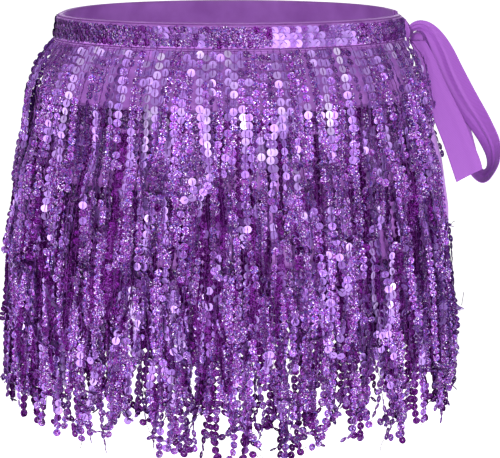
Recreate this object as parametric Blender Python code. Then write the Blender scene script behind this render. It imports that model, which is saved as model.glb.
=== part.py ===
"""Belly dance hip scarf in its worn form: a wrap panel, four tiers of fringe and a ribbon tie."""
# Metres, +Z up, front towards -Y. The origin is the middle of the waist opening,
# halfway up the waistband. Angles run from +X (the tied side) round by the back.

import math
import random
from collections import namedtuple

import bmesh
import bpy
from mathutils import Vector

# Cloth thicknesses and seam gaps
PANEL_WALL = 0.0012
BAND_WALL = 0.0010
FRINGE_WALL = 0.0014
RIBBON_WALL = 0.0012
SEAM_GAP = 0.0003
LAYER_GAP = 0.0005

# Where the wrap starts at the back of the tied side and ends in front of it, in degrees
BACK_END = 9.0
FRONT_END = 360.5
FLARE_START = 352.0

# Waistband and panel
BAND_HEIGHT = 0.020
BAND_EDGE_ROUND = 0.0004
PANEL_TOP = 0.0085
PANEL_HEM = -0.181
PANEL_COLUMNS = 56
BACK_RISE = 0.0022
HIP_HEIGHT = -0.104

# Fringe: each tier has a header strip and strands that hang from its lower edge
HEADER_HEIGHT = 0.016
STRAND_WIDTH = 0.0094
STRAND_END_WIDTH = 0.0070
END_SPREAD = 0.022
SWAY = 0.0010
END_SWAY = 0.0024
SEED = 7

# The general figure that the cloth lies on, measured to the outer face of the panel.
# passed: how many lower headers the fringe has come over by this height.
# stand_off, lift: how far the first tier hangs off the panel, and how much further
# at the untied side. flare: how far the plain front margin turns out. dip: how far the
# middle of the front hangs below the sides.
Section = namedtuple(
    "Section", "height half_width front_depth back_depth passed stand_off lift flare dip")
FIGURE = [
    Section(0.010, 0.1300, 0.0935, 0.1000, 0, 0.0016, 0.0000, 0.0000, 0.0000),
    Section(-0.010, 0.1333, 0.0958, 0.1030, 0, 0.0016, 0.0000, 0.0000, 0.0000),
    Section(-0.027, 0.1400, 0.1000, 0.1080, 0, 0.0026, 0.0034, 0.0000, 0.0014),
    Section(-0.047, 0.1468, 0.1035, 0.1120, 1, 0.0018, 0.0028, 0.0008, 0.0028),
    Section(-0.084, 0.1565, 0.1075, 0.1175, 1, 0.0006, 0.0008, 0.0032, 0.0028),
    Section(-0.104, 0.1607, 0.1090, 0.1200, 2, 0.0005, 0.0000, 0.0045, 0.0028),
    Section(-0.141, 0.1660, 0.1110, 0.1235, 2, 0.0005, 0.0000, 0.0050, 0.0028),
    Section(-0.160, 0.1685, 0.1118, 0.1247, 3, 0.0005, 0.0000, 0.0030, 0.0028),
    Section(-0.181, 0.1705, 0.1125, 0.1255, 3, 0.0005, 0.0000, 0.0000, 0.0028),
    Section(-0.237, 0.1745, 0.1145, 0.1270, 3, 0.0005, 0.0000, 0.0000, 0.0028),
    Section(-0.306, 0.1775, 0.1160, 0.1275, 3, 0.0005, 0.0000, 0.0000, 0.0028),
]

# A tier: the top of its header, where it starts and ends round the figure, how low its
# longest strand hangs, and its strands. The counts differ so that strands fill the gaps
# between the ones of the next tier.
Tier = namedtuple("Tier", "name header_top first_angle last_angle lowest strands")
TIERS = [
    Tier("fringe_1", 0.0085, 11.0, 352.0, -0.134, 47),
    Tier("fringe_2", -0.0495, 11.0, 348.5, -0.192, 51),
    Tier("fringe_3", -0.1065, 11.0, 348.5, -0.248, 54),
    Tier("fringe_4", -0.1625, 11.0, 352.0, -0.304, 58),
]

# A ribbon row: its middle, its half width, and the way its width runs.
# slant: degrees from +X towards +Z. turn: degrees from that plane towards +Y.
Row = namedtuple("Row", "x y z half_width slant turn")
TAIL_ROWS = [
    Row(0.1452, -0.0048, -0.0110, 0.0041, 3, 0),
    Row(0.1506, -0.0052, -0.0230, 0.0075, -18, 0),
    Row(0.1566, -0.0058, -0.0405, 0.0104, -20, 0),
    Row(0.1630, -0.0062, -0.0580, 0.0115, -9, 0),
    Row(0.1697, -0.0066, -0.0735, 0.0115, 2, 0),
    Row(0.1772, -0.0070, -0.0915, 0.0115, 4, 0),
    Row(0.1826, -0.0075, -0.1055, 0.0115, 14, 0),
    Row(0.1859, -0.0075, -0.1155, 0.0113, 28, 0),
]
LOOP_ROWS = [
    Row(0.1396, 0.0020, -0.0024, 0.0030, 125, 0),
    Row(0.1425, 0.0016, -0.0006, 0.0036, 112, 0),
    Row(0.1468, 0.0012, 0.0001, 0.0040, 90, 0),
    Row(0.1525, 0.0010, -0.0026, 0.0050, 60, 0),
    Row(0.1584, 0.0008, -0.0100, 0.0068, 43, -6),
    Row(0.1645, 0.0006, -0.0215, 0.0086, 34, -12),
    Row(0.1717, 0.0004, -0.0385, 0.0104, 32, -18),
    Row(0.1822, 0.0006, -0.0580, 0.0112, 33, -27),
    Row(0.1942, 0.0020, -0.0760, 0.0114, 30, -43),
    Row(0.2027, 0.0050, -0.0914, 0.0112, 15, -52),
    Row(0.2058, 0.0080, -0.1050, 0.0108, 0, -69),
    Row(0.2035, 0.0105, -0.1155, 0.0105, -45, -80),
    Row(0.1978, 0.0125, -0.1187, 0.0105, -112, -65),
    Row(0.1907, 0.0140, -0.1090, 0.0108, -146, -54),
    Row(0.1822, 0.0150, -0.0871, 0.0110, -156, -42),
    Row(0.1733, 0.0150, -0.0657, 0.0106, -160, -32),
    Row(0.1640, 0.0135, -0.0431, 0.0092, -160, -22),
    Row(0.1552, 0.0112, -0.0226, 0.0070, -160, -12),
    Row(0.1482, 0.0088, -0.0100, 0.0054, -158, 0),
]
FRONT_END_ROWS = [
    Row(0.1338, -0.0132, 0.0000, 0.0062, 90, 0),
    Row(0.1347, -0.0070, -0.0012, 0.0058, 90, 0),
    Row(0.1366, -0.0020, -0.0040, 0.0048, 90, 0),
    Row(0.1384, 0.0002, -0.0075, 0.0036, 90, 0),
]
BACK_END_ROWS = [
    Row(0.1325, 0.0183, 0.0000, 0.0062, 90, 0),
    Row(0.1352, 0.0140, -0.0015, 0.0058, 90, 0),
    Row(0.1385, 0.0100, -0.0045, 0.0046, 90, 0),
    Row(0.1412, 0.0070, -0.0080, 0.0036, 90, 0),
]
RIBBON_STEPS = 2
RIBBON_STRIPS = 4
RIBBON_CUP = 0.0009

# Knot of the two ribbons
KNOT_CENTRE = Vector((0.1435, 0.0020, -0.0108))
KNOT_RADII = Vector((0.0052, 0.0050, 0.0058))
KNOT_TILT = math.radians(20)
KNOT_GATHERS = 6
KNOT_GATHER_DEPTH = 0.10
KNOT_ROUND = 18
KNOT_RINGS = 8

# Plain colours of the cloth, linear, with roughness
PANEL_LOOK = ("stretch_knit", (0.30, 0.17, 0.52), 0.6)
FRINGE_LOOK = ("sequin_fringe", (0.19, 0.08, 0.34), 0.35)
RIBBON_LOOK = ("chiffon_ribbon", (0.38, 0.13, 0.56), 0.55)


def clear_scene():
    for item in list(bpy.data.objects):
        bpy.data.objects.remove(item, do_unlink=True)


def plain_material(look, node_name):
    name, colour, roughness = look
    material = bpy.data.materials.new(f"{name}_{node_name}")
    material.use_nodes = True
    shader = material.node_tree.nodes["Principled BSDF"]
    shader.inputs["Base Color"].default_value = (*colour, 1.0)
    shader.inputs["Roughness"].default_value = roughness
    shader.inputs["Metallic"].default_value = 0.0
    return material


def add_object(name, mesh_data, look):
    """Turns a bmesh into a named object with its faces pointing out."""
    bmesh.ops.recalc_face_normals(mesh_data, faces=mesh_data.faces)
    mesh = bpy.data.meshes.new(name)
    mesh_data.to_mesh(mesh)
    mesh_data.free()
    mesh.materials.append(plain_material(look, name))
    mesh.shade_smooth()
    mesh.set_sharp_from_angle(angle=math.radians(40))
    item = bpy.data.objects.new(name, mesh)
    bpy.context.scene.collection.objects.link(item)
    return item


def section_at(height):
    """The figure's section at a height, on straight lines between the table's rows."""
    if height >= FIGURE[0].height:
        return FIGURE[0]
    for upper, lower in zip(FIGURE, FIGURE[1:]):
        if height >= lower.height:
            share = (upper.height - height) / (upper.height - lower.height)
            return Section(*[a + (b - a) * share for a, b in zip(upper, lower)])
    return FIGURE[-1]


def cloth_point(angle, height, out):
    """A point on the worn cloth, moved out along the level normal."""
    section = section_at(height)
    across, along = math.cos(math.radians(angle)), math.sin(math.radians(angle))
    depth = section.front_depth if along < 0 else section.back_depth
    normal = Vector((across / section.half_width, along / depth, 0.0)).normalized()
    margin = max(0.0, (angle - FLARE_START) / (FRONT_END - FLARE_START))
    turned_out = section.flare * margin ** 1.5
    hang = BACK_RISE * (1 - (1 - along) ** 2) if along > 0 else -section.dip * along ** 2
    place = Vector((section.half_width * across, depth * along, height + hang))
    return place + normal * (out + turned_out)


def arc_between(start, end):
    """Fine angles from start to end and the length of cloth up to each, at hip height."""
    steps = 720
    angles = [start + (end - start) * step / steps for step in range(steps + 1)]
    points = [cloth_point(angle, HIP_HEIGHT, 0.0) for angle in angles]
    lengths = [0.0]
    for here, there in zip(points, points[1:]):
        lengths.append(lengths[-1] + (there - here).length)
    return angles, lengths


def angles_along(start, end, shares):
    """Angles at rising shares of the way along the cloth."""
    angles, lengths = arc_between(start, end)
    found = []
    step = 0
    for share in shares:
        target = lengths[-1] * share
        while step < len(lengths) - 2 and lengths[step + 1] < target:
            step += 1
        part = (target - lengths[step]) / (lengths[step + 1] - lengths[step])
        found.append(angles[step] + (angles[step + 1] - angles[step]) * part)
    return found


def closed_wall(mesh_data, outer, inner, open_cells=()):
    """A closed wall between two grids of points, open below at the given columns."""
    outer = [[mesh_data.verts.new(point) for point in row] for row in outer]
    inner = [[mesh_data.verts.new(point) for point in row] for row in inner]
    last_row, last_column = len(outer) - 1, len(outer[0]) - 1
    for row in range(last_row):
        for column in range(last_column):
            for grid in (outer, inner):
                mesh_data.faces.new((grid[row][column], grid[row][column + 1],
                                     grid[row + 1][column + 1], grid[row + 1][column]))
        for column in (0, last_column):
            mesh_data.faces.new((outer[row][column], outer[row + 1][column],
                                 inner[row + 1][column], inner[row][column]))
    for column in range(last_column):
        for row in (0, last_row):
            if row == last_row and column in open_cells:
                continue
            mesh_data.faces.new((outer[row][column], outer[row][column + 1],
                                 inner[row][column + 1], inner[row][column]))
    return outer, inner


def wrap_angles():
    """The columns of the panel, which the waistband shares."""
    shares = [index / PANEL_COLUMNS for index in range(PANEL_COLUMNS + 1)]
    return angles_along(BACK_END, FRONT_END, shares)


def make_hip_panel():
    """The one wrapped piece of stretch cloth that the tiers are sewn to."""
    angles = wrap_angles()
    heights = [PANEL_TOP]
    heights += [row.height for row in FIGURE if PANEL_HEM <= row.height < PANEL_TOP]
    outer = [[cloth_point(angle, height, 0.0) for angle in angles] for height in heights]
    inner = [[cloth_point(angle, height, -PANEL_WALL) for angle in angles] for height in heights]
    mesh_data = bmesh.new()
    closed_wall(mesh_data, outer, inner)
    return add_object("hip_panel", mesh_data, PANEL_LOOK)


def make_waistband():
    """A strip folded over the panel's top edge: an upside-down U in section."""
    half = BAND_HEIGHT / 2
    outside = SEAM_GAP + BAND_WALL
    inside = -PANEL_WALL - SEAM_GAP - BAND_WALL
    slot_top = half - BAND_WALL
    bend = BAND_EDGE_ROUND
    profile = [
        (outside, -half), (outside, half - bend), (outside - bend, half),
        (inside + bend, half), (inside, half - bend), (inside, -half),
        (inside + BAND_WALL, -half), (inside + BAND_WALL, slot_top),
        (SEAM_GAP, slot_top), (SEAM_GAP, -half),
    ]
    mesh_data = bmesh.new()
    rings = []
    for angle in wrap_angles()[:-1]:
        points = [cloth_point(angle, height, out) for out, height in profile]
        rings.append([mesh_data.verts.new(point) for point in points])
    for ring, following in zip(rings, rings[1:]):
        for index in range(len(profile)):
            after = (index + 1) % len(profile)
            mesh_data.faces.new((ring[index], ring[after], following[after], following[index]))
    mesh_data.faces.new(rings[0])
    mesh_data.faces.new(rings[-1])
    return add_object("waistband", mesh_data, PANEL_LOOK)


def tier_out(tier_index, angle, height):
    """How far a tier's inner face stands off the panel, over the headers below it."""
    section = section_at(height)
    over_headers = (section.passed - tier_index) * (FRINGE_WALL + LAYER_GAP)
    if tier_index > 0:
        return over_headers + LAYER_GAP
    untied = (1.0 - math.cos(math.radians(angle))) / 2
    return over_headers + section.stand_off + section.lift * untied


def strand_ring(tier_index, angle, height, width, sway):
    """The four corners of a strand at a height: a flat strip against the figure."""
    out = tier_out(tier_index, angle, height)
    middle = cloth_point(angle, height, out)
    outward = (cloth_point(angle, height, out + FRINGE_WALL) - middle).normalized()
    sideways = Vector((0.0, 0.0, 1.0)).cross(outward)
    left = middle + sideways * (sway - width / 2)
    right = middle + sideways * (sway + width / 2)
    thick = outward * FRINGE_WALL
    return [left + thick, right + thick, right, left]


def hang_strand(mesh_data, root, tier_index, angle, end, drift):
    """Hangs one strand from four vertices at the lower edge of its header."""
    top = TIERS[tier_index].header_top - HEADER_HEIGHT
    heights = [row.height for row in FIGURE if end + 0.004 < row.height < top - 0.001]
    above = root
    for height in heights + [end]:
        fallen = (top - height) / (top - end)
        width = STRAND_WIDTH if height > end else STRAND_END_WIDTH
        reach = SWAY if height > PANEL_HEM else END_SWAY
        ring = strand_ring(tier_index, angle, height, width, drift * reach * fallen)
        below = [mesh_data.verts.new(point) for point in ring]
        for index in range(4):
            after = (index + 1) % 4
            mesh_data.faces.new((above[index], above[after], below[after], below[index]))
        above = below
    mesh_data.faces.new(above)


def make_tier(tier_index):
    """A header strip with its strands hanging from the lower edge, fused at their roots."""
    tier = TIERS[tier_index]
    chance = random.Random(SEED + tier_index)
    length = arc_between(tier.first_angle, tier.last_angle)[1][-1]
    half_share = STRAND_WIDTH / length / 2
    middles = [(index + 0.5) / tier.strands for index in range(tier.strands)]
    edges = [middle + side * half_share for middle in middles for side in (-1, 1)]
    angles = angles_along(tier.first_angle, tier.last_angle, [0.0] + edges + [1.0])
    centres = angles_along(tier.first_angle, tier.last_angle, middles)

    bottom = tier.header_top - HEADER_HEIGHT
    heights = [tier.header_top]
    heights += [row.height for row in FIGURE if bottom < row.height < tier.header_top]
    heights.append(bottom)

    def header_face(extra):
        return [[cloth_point(angle, height, tier_out(tier_index, angle, height) + extra)
                 for angle in angles] for height in heights]

    roots = [2 * index + 1 for index in range(tier.strands)]
    mesh_data = bmesh.new()
    outer, inner = closed_wall(mesh_data, header_face(FRINGE_WALL), header_face(0.0), set(roots))
    for root, angle in zip(roots, centres):
        corners = [outer[-1][root], outer[-1][root + 1], inner[-1][root + 1], inner[-1][root]]
        end = tier.lowest + END_SPREAD * chance.random() ** 2
        hang_strand(mesh_data, corners, tier_index, angle, end, chance.uniform(-1.0, 1.0))
    return add_object(tier.name, mesh_data, FRINGE_LOOK)


def smooth_rows(rows, steps):
    """Rows on a smooth curve through a ribbon's own rows."""
    padded = [rows[0]] + list(rows) + [rows[-1]]
    found = []
    for before, start, end, after in zip(padded, padded[1:], padded[2:], padded[3:]):
        for step in range(steps):
            t = step / steps
            values = []
            for a, b, c, d in zip(before, start, end, after):
                bend = 2 * a - 5 * b + 4 * c - d + (3 * b - a - 3 * c + d) * t
                values.append(b + (c - a) * t / 2 + bend * t * t / 2)
            found.append(Row(*values))
    found.append(rows[-1])
    return found


def make_ribbon(name, rows, steps=RIBBON_STEPS):
    """A flat ribbon wall through its rows, slightly cupped across its width."""
    rows = smooth_rows(rows, steps)
    middles = [Vector((row.x, row.y, row.z)) for row in rows]
    fronts, backs = [], []
    for index, row in enumerate(rows):
        ahead = middles[min(index + 1, len(rows) - 1)] - middles[max(index - 1, 0)]
        slant, turn = math.radians(row.slant), math.radians(row.turn)
        wide = Vector((math.cos(slant) * math.cos(turn), math.sin(turn),
                       math.sin(slant) * math.cos(turn)))
        facing = wide.cross(ahead).normalized()
        front, back = [], []
        for strip in range(RIBBON_STRIPS + 1):
            side = 2 * strip / RIBBON_STRIPS - 1
            point = middles[index] + wide * (row.half_width * side)
            point += facing * RIBBON_CUP * (1 - side * side)
            front.append(point + facing * RIBBON_WALL / 2)
            back.append(point - facing * RIBBON_WALL / 2)
        fronts.append(front)
        backs.append(back)
    mesh_data = bmesh.new()
    closed_wall(mesh_data, fronts, backs)
    return add_object(name, mesh_data, RIBBON_LOOK)


def make_knot():
    """The two ribbons pulled into one small gathered knot."""
    mesh_data = bmesh.new()

    def place(x, y, z):
        turned = Vector((x * math.cos(KNOT_TILT) + z * math.sin(KNOT_TILT), y,
                         z * math.cos(KNOT_TILT) - x * math.sin(KNOT_TILT)))
        return mesh_data.verts.new(KNOT_CENTRE + turned)

    rings = []
    for ring in range(1, KNOT_RINGS):
        down = math.pi * ring / KNOT_RINGS
        points = []
        for step in range(KNOT_ROUND):
            turn = 2 * math.pi * step / KNOT_ROUND
            gather = 1 - KNOT_GATHER_DEPTH * math.sin(down) * (1 - math.cos(KNOT_GATHERS * turn)) / 2
            level = math.sin(down) * gather
            points.append(place(KNOT_RADII.x * level * math.cos(turn),
                                KNOT_RADII.y * level * math.sin(turn),
                                KNOT_RADII.z * math.cos(down)))
        rings.append(points)
    for upper, lower in zip(rings, rings[1:]):
        for step in range(KNOT_ROUND):
            after = (step + 1) % KNOT_ROUND
            mesh_data.faces.new((upper[step], upper[after], lower[after], lower[step]))
    for ring, height in ((rings[0], KNOT_RADII.z), (rings[-1], -KNOT_RADII.z)):
        pole = place(0.0, 0.0, height)
        for step in range(KNOT_ROUND):
            mesh_data.faces.new((ring[step], ring[(step + 1) % KNOT_ROUND], pole))
    return add_object("tie_knot", mesh_data, RIBBON_LOOK)


def build_scarf():
    clear_scene()
    make_hip_panel()
    make_waistband()
    for tier_index in range(len(TIERS)):
        make_tier(tier_index)
    make_knot()
    make_ribbon("tie_loop", LOOP_ROWS)
    make_ribbon("tie_tail", TAIL_ROWS)
    make_ribbon("tie_front_end", FRONT_END_ROWS)
    make_ribbon("tie_back_end", BACK_END_ROWS)


build_scarf()
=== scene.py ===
# %% [markdown]
# # Belly dance hip scarf
# The real thing is a wrap of stretch knit with a folded waistband, four tiers of sequin
# fringe and a sheer ribbon that ties it at the wearer's left hip. It keeps its worn, hollow
# shape here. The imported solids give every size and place; this file gives the looks.

import math

import bmesh
import bpy
import numpy as np
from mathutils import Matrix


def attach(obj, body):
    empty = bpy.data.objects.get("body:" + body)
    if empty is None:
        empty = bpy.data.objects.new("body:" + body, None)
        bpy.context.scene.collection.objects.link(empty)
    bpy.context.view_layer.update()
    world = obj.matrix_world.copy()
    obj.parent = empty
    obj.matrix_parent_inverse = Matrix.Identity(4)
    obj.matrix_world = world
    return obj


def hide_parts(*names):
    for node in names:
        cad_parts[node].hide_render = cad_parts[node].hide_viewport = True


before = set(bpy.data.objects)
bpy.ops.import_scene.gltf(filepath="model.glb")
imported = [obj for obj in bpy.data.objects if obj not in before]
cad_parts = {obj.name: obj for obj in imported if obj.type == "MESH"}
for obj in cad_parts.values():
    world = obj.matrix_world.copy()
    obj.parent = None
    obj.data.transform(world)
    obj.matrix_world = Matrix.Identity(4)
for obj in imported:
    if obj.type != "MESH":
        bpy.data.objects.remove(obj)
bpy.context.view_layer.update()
print("solids:", sorted(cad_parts))

# %% [markdown]
# ## Camera
# The photo looks a little down into the waist opening, through a long lens from about
# 1.4 m in front. The lens was worked out from the widths of the waist and the hem.

# %% Camera
CAMERA_PLACE = (0.0155, -1.40, 0.124)
CAMERA_PITCH = 11.44
CAMERA_LENS = 131.0

camera_data = bpy.data.cameras.new("camera")
camera_data.lens = CAMERA_LENS
camera_data.sensor_width = 36.0
camera = bpy.data.objects.new("camera", camera_data)
camera.location = CAMERA_PLACE
camera.rotation_euler = (math.radians(90.0 - CAMERA_PITCH), 0.0, 0.0)
bpy.context.scene.collection.objects.link(camera)
bpy.context.scene.camera = camera
print("camera", CAMERA_LENS, "mm lens, pitched down", CAMERA_PITCH, "degrees")

# %% [markdown]
# ## Colour and node helpers
# Colours are written as sRGB hex codes, the way a dyer's chart shows them, and turned to
# linear light in one place. One function adds any node with its settings and links.

# %% Helpers for materials


def linear(hex_code):
    """An sRGB hex code as linear RGBA."""
    channels = [int(hex_code[start:start + 2], 16) / 255 for start in (1, 3, 5)]
    light = [c / 12.92 if c <= 0.04045 else ((c + 0.055) / 1.055) ** 2.4 for c in channels]
    return (*light, 1.0)


def add_node(tree, kind, settings=None, links=None):
    """Adds a node. settings are its properties or inputs, links are input: (node, output)."""
    node = tree.nodes.new("ShaderNode" + kind)
    for name, value in (settings or {}).items():
        if isinstance(name, str) and hasattr(node, name):
            setattr(node, name, value)
        else:
            node.inputs[name].default_value = value
    for name, (source, output) in (links or {}).items():
        tree.links.new(source.outputs[output], node.inputs[name])
    return node


def new_material(name):
    """A material's tree and shader, and a link to object coordinates in metres."""
    material = bpy.data.materials.new(name)
    material.use_nodes = True
    tree = material.node_tree
    place = add_node(tree, "TexCoord")
    return material, tree, tree.nodes["Principled BSDF"], {"Vector": (place, "Object")}


def set_inputs(shader, settings):
    """Sets constants straight on a shader's sockets."""
    for name, value in settings.items():
        shader.inputs[name].default_value = value


def add_ramp(tree, source, output, stops, blend="LINEAR"):
    """A colour ramp over a node's output. Its stops are position and hex code."""
    node = add_node(tree, "ValToRGB", links={"Fac": (source, output)})
    ramp = node.color_ramp
    ramp.interpolation = blend
    while len(ramp.elements) < len(stops):
        ramp.elements.new(1.0)
    for element, (position, code) in zip(ramp.elements, stops):
        element.position = position
        element.color = linear(code)
    return node


def add_range(tree, source, output="Fac", start=0.0, end=1.0, low=0.0, high=1.0):
    """Maps a node's output, from start to end, on to low to high."""
    return add_node(tree, "MapRange",
                    {"From Min": start, "From Max": end, "To Min": low, "To Max": high},
                    {"Value": (source, output)})


# %% [markdown]
# ## Studio
# A floor of opal light-table acrylic, far below the garment as under someone who wears it,
# soft lamps and a pale room. The main lamp is large and stands low in front, so sequins
# that face it go pale, while the inside of the waist stays in shade.

# %% Floor, room and lamps
FLOOR_HEIGHT = -0.95
FLOOR_SIZE = 60.0
FLOOR_GLOW = 0.83
ROOM_LIGHT = 0.38
LAMPS = {
    # name: place, size, power
    "low front": ((0.05, -2.2, -0.60), 1.2, 31.0),
    "front": ((0.30, -2.1, 0.42), 1.1, 12.5),
    "high left": ((-1.5, -1.5, 0.9), 0.6, 7.0),
    "low left": ((-2.0, -0.9, -0.5), 0.8, 16.0),
    "low right": ((2.0, -0.9, -0.5), 0.8, 15.0),
    "back": ((0.2, 2.2, 0.5), 1.4, 26.0),
}

bpy.context.scene.view_settings.view_transform = "Standard"

floor_mesh = bpy.data.meshes.new("floor")
reach = FLOOR_SIZE / 2
floor_mesh.from_pydata(
    [(-reach, -reach, 0), (reach, -reach, 0), (reach, reach, 0), (-reach, reach, 0)],
    [], [(0, 1, 2, 3)])
floor = bpy.data.objects.new("floor", floor_mesh)
floor.location.z = FLOOR_HEIGHT
bpy.context.scene.collection.objects.link(floor)

floor_paint, _, floor_shader, _ = new_material("opal_light_table_acrylic")
set_inputs(floor_shader, {"Base Color": linear("#FAFAFA"), "Roughness": 0.9,
                          "Emission Color": linear("#FFFFFF"), "Emission Strength": FLOOR_GLOW})
floor_mesh.materials.append(floor_paint)

world = bpy.data.worlds.new("studio")
world.use_nodes = True
set_inputs(world.node_tree.nodes["Background"],
           {"Color": linear("#FFFFFF"), "Strength": ROOM_LIGHT})
bpy.context.scene.world = world

for lamp_name, (lamp_place, lamp_size, lamp_power) in LAMPS.items():
    lamp_data = bpy.data.lights.new(lamp_name, "AREA")
    lamp_data.size = lamp_size
    lamp_data.energy = lamp_power
    lamp = bpy.data.objects.new(lamp_name, lamp_data)
    lamp.location = lamp_place
    aim = -lamp.location
    lamp.rotation_euler = aim.to_track_quat("-Z", "Y").to_euler()
    lamp.visible_camera = False
    bpy.context.scene.collection.objects.link(lamp)
print("lamps:", list(LAMPS))

# %% [markdown]
# ## Mesh helpers
# Cloth here is always a thin closed wall: a front grid of points, a back grid, and the
# edges between them. Grids are numpy arrays, because one array sum moves a whole garment.

# %% Helpers for meshes
WELD_DISTANCE = 1e-6


def add_piece(name, points, faces, material):
    """Makes a shown piece from arrays of points and faces, with its normals set."""
    mesh = bpy.data.meshes.new(name)
    mesh.from_pydata(points.tolist(), [], faces.tolist())
    mesh.materials.append(material)
    mesh.shade_smooth()
    piece = bpy.data.objects.new(name, mesh)
    bpy.context.scene.collection.objects.link(piece)
    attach(piece, "root")
    return piece


def face_outward(piece, weld=False):
    """Turns the faces of a closed piece to point out, once points that meet are one."""
    mesh_data = bmesh.new()
    mesh_data.from_mesh(piece.data)
    if weld:
        bmesh.ops.remove_doubles(mesh_data, verts=mesh_data.verts, dist=WELD_DISTANCE)
    bmesh.ops.recalc_face_normals(mesh_data, faces=mesh_data.faces)
    mesh_data.to_mesh(piece.data)
    mesh_data.free()


def add_wall(name, front, back, material, slot):
    """A closed cloth wall between two grids of points with the same rows and columns."""
    rows, columns = front.shape[:2]
    near = np.arange(rows * columns).reshape(rows, columns)
    far = near + rows * columns

    def cells(a, b, c, d):
        return np.stack([a, b, c, d], axis=-1).reshape(-1, 4)

    faces = [
        cells(near[:-1, :-1], near[:-1, 1:], near[1:, 1:], near[1:, :-1]),
        cells(far[:-1, :-1], far[1:, :-1], far[1:, 1:], far[:-1, 1:]),
    ]
    for near_edge, far_edge in ((near[0], far[0]), (near[-1], far[-1]),
                                (near[:, 0], far[:, 0]), (near[:, -1], far[:, -1])):
        faces.append(cells(near_edge[:-1], near_edge[1:], far_edge[1:], far_edge[:-1]))
    points = np.concatenate([front.reshape(-1, 3), back.reshape(-1, 3)])
    piece = add_piece(name, points, np.concatenate(faces), material)
    face_outward(piece)
    return piece


def unit(vectors):
    return vectors / np.linalg.norm(vectors, axis=-1, keepdims=True)


def count_triangles(piece):
    return sum(len(polygon.vertices) - 2 for polygon in piece.data.polygons)


# %% [markdown]
# ## The figure that the cloth lies on
# The garment keeps the shape of a general figure. Its level sections are half ellipses,
# deeper behind than in front, on the same heights and sizes as the solids. Angles run from
# the tied side (0 degrees) round by the back, so the untied side is at 180 degrees.

# %% Sections of the figure
# passed: tapes above this height. stand_off and lift: room that the first tier takes.
# flare: how far the front edge turns out. dip: how far the cloth sags in front.
BACK_END = 9.0
FRONT_END = 360.5
FLARE_START = 352.0
BACK_RISE = 0.0022
HIP_HEIGHT = -0.104
FIGURE_COLUMNS = ("height half_width front_depth back_depth passed stand_off lift flare "
                  "dip").split()
FIGURE_ROWS = np.array([
    (0.010, 0.1300, 0.0935, 0.1000, 0, 0.0016, 0, 0, 0),
    (-0.010, 0.1333, 0.0958, 0.1030, 0, 0.0016, 0, 0, 0),
    (-0.027, 0.1400, 0.1000, 0.1080, 0, 0.0026, 0.0034, 0, 0.0014),
    (-0.047, 0.1468, 0.1035, 0.1120, 1, 0.0018, 0.0028, 0.0008, 0.0028),
    (-0.084, 0.1565, 0.1075, 0.1175, 1, 0.0006, 0.0008, 0.0032, 0.0028),
    (-0.104, 0.1607, 0.1090, 0.1200, 2, 0.0005, 0, 0.0045, 0.0028),
    (-0.141, 0.1660, 0.1110, 0.1235, 2, 0.0005, 0, 0.0050, 0.0028),
    (-0.160, 0.1685, 0.1118, 0.1247, 3, 0.0005, 0, 0.0030, 0.0028),
    (-0.181, 0.1705, 0.1125, 0.1255, 3, 0.0005, 0, 0, 0.0028),
    (-0.237, 0.1745, 0.1145, 0.1270, 3, 0.0005, 0, 0, 0.0028),
    (-0.306, 0.1775, 0.1160, 0.1275, 3, 0.0005, 0, 0, 0.0028),
])


def section(height, column):
    """One size of the figure at each height."""
    rising = FIGURE_ROWS[::-1]
    return np.interp(height, rising[:, 0], rising[:, FIGURE_COLUMNS.index(column)])


def outward_at(angle, height):
    """The level direction straight out of the cloth."""
    across, along = np.cos(np.radians(angle)), np.sin(np.radians(angle))
    depth = np.where(along < 0, section(height, "front_depth"), section(height, "back_depth"))
    flat = np.stack([across / section(height, "half_width"), along / depth,
                     np.zeros(np.shape(across * depth))], axis=-1)
    return unit(flat)


def cloth_point(angle, height, out):
    """Points on the worn cloth, moved out from the panel's outer face."""
    angle, height, out = np.broadcast_arrays(angle, height, out)
    across, along = np.cos(np.radians(angle)), np.sin(np.radians(angle))
    depth = np.where(along < 0, section(height, "front_depth"), section(height, "back_depth"))
    margin = np.maximum(0.0, (angle - FLARE_START) / (FRONT_END - FLARE_START))
    turned_out = section(height, "flare") * margin ** 1.5
    hang = np.where(along > 0, BACK_RISE * (1 - (1 - along) ** 2),
                    -section(height, "dip") * along ** 2)
    place = np.stack([section(height, "half_width") * across, depth * along, height + hang],
                     axis=-1)
    return place + outward_at(angle, height) * (out + turned_out)[..., None]


def angles_along(start, end, shares, height=HIP_HEIGHT):
    """Angles at shares of the way along the cloth, and the length of that way."""
    fine = np.linspace(start, end, 721)
    steps = np.linalg.norm(np.diff(cloth_point(fine, height, 0.0), axis=0), axis=1)
    lengths = np.concatenate([[0.0], np.cumsum(steps)])
    return np.interp(np.asarray(shares) * lengths[-1], lengths, fine), lengths[-1]


_, hip_length = angles_along(BACK_END, FRONT_END, [0.0])
_, waist_length = angles_along(BACK_END, FRONT_END, [0.0], height=0.0)
print(f"cloth round the hips {hip_length * 1000:.0f} mm,",
      f"round the waist {waist_length * 1000:.0f} mm")

# %% [markdown]
# ## Materials
# Each finish is named for what it is. Patterns are scaled from millimetres. The piping is
# the same knit as the band, drawn a little deeper as painted shade.

# %% Stretch knit
WALE_PITCH = 0.0011


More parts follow.
